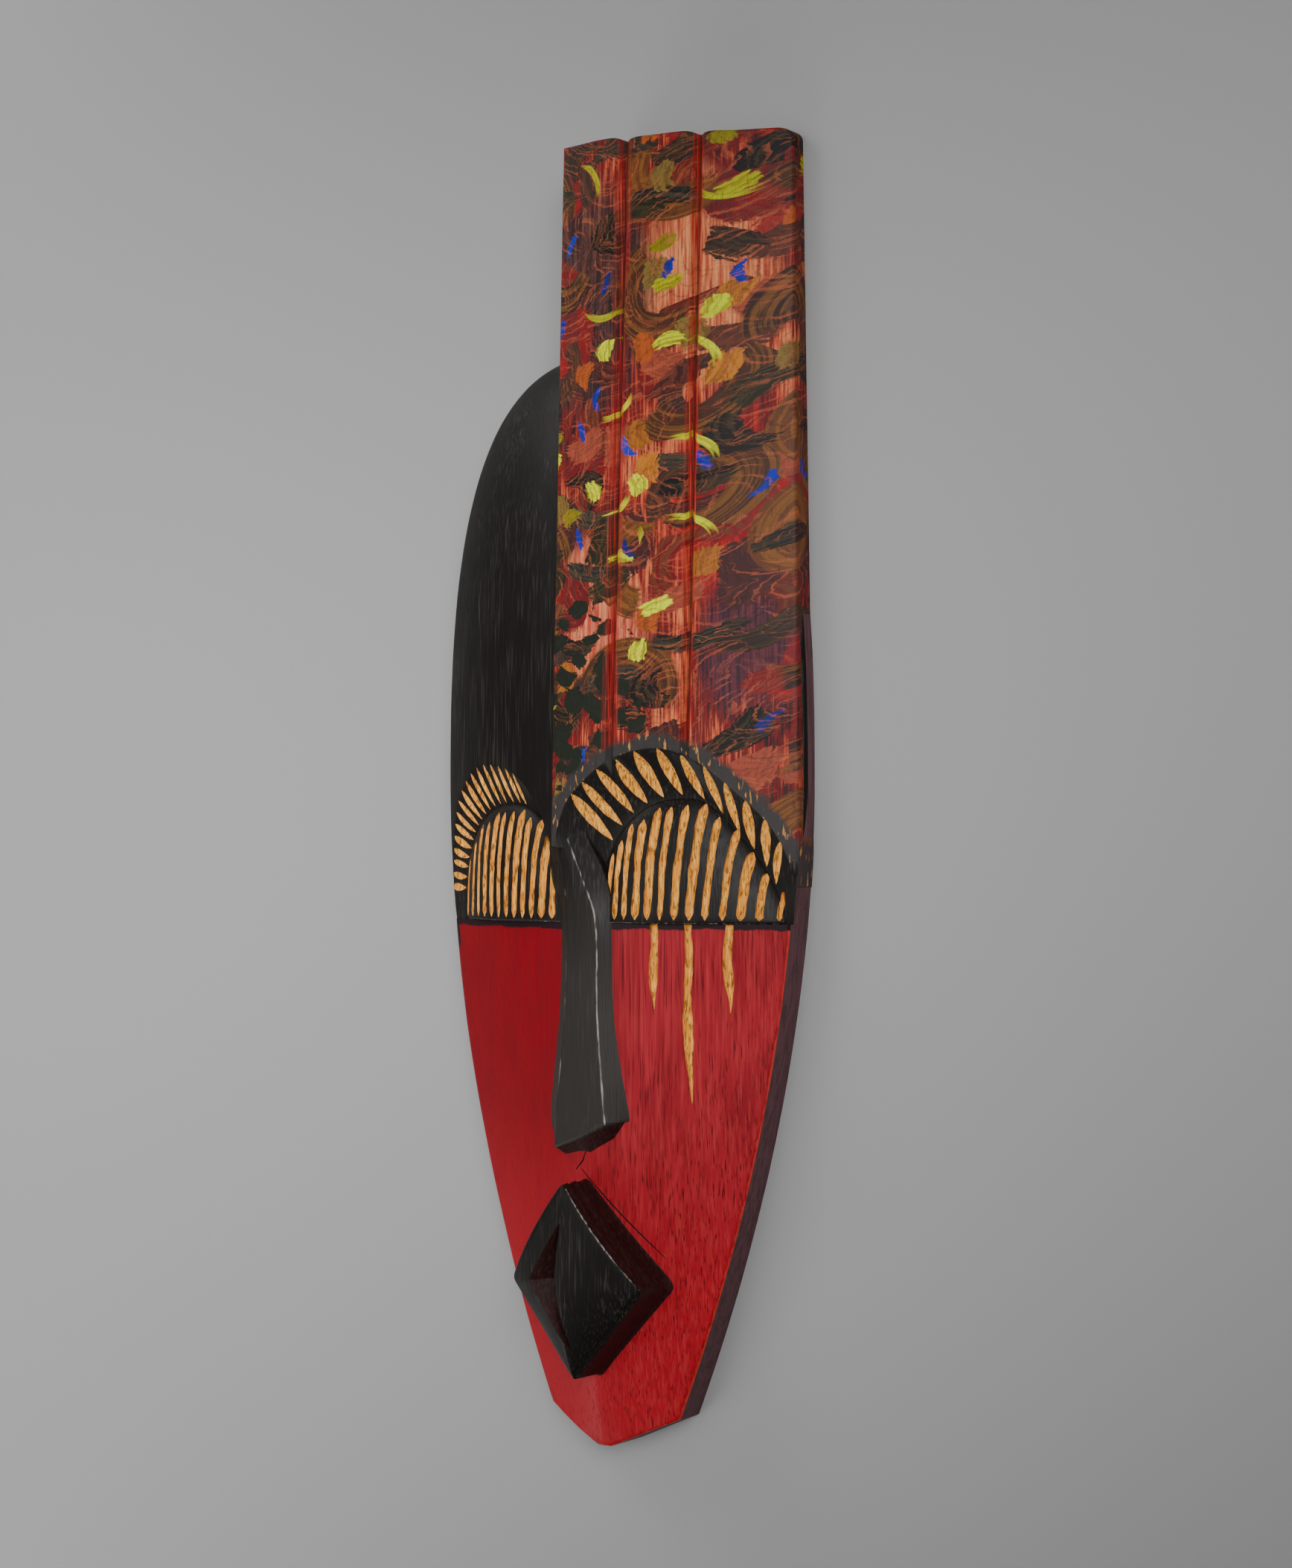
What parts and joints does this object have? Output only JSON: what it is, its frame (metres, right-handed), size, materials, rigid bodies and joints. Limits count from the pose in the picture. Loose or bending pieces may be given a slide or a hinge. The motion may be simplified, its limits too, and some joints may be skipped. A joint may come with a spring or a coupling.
{
  "type": "tribal mask",
  "caption": "Tall carved wooden mask with half-closed eyes, a long nose, a diamond mouth and a raised painted forehead panel, hollowed at the back.",
  "frame": {"origin": "middle of the mask's outer box, on the plane of its back rim", "axes": "+Z out of the face, +Y from the chin to the crest, +X to the right as one looks at the face"},
  "size_m": [0.192, 0.578, 0.0598],
  "materials": {
    "painted_wood": "satin"
  },
  "bodies": {
    "root": {"carved_mask": "painted_wood"}
  },
  "joints": []
}
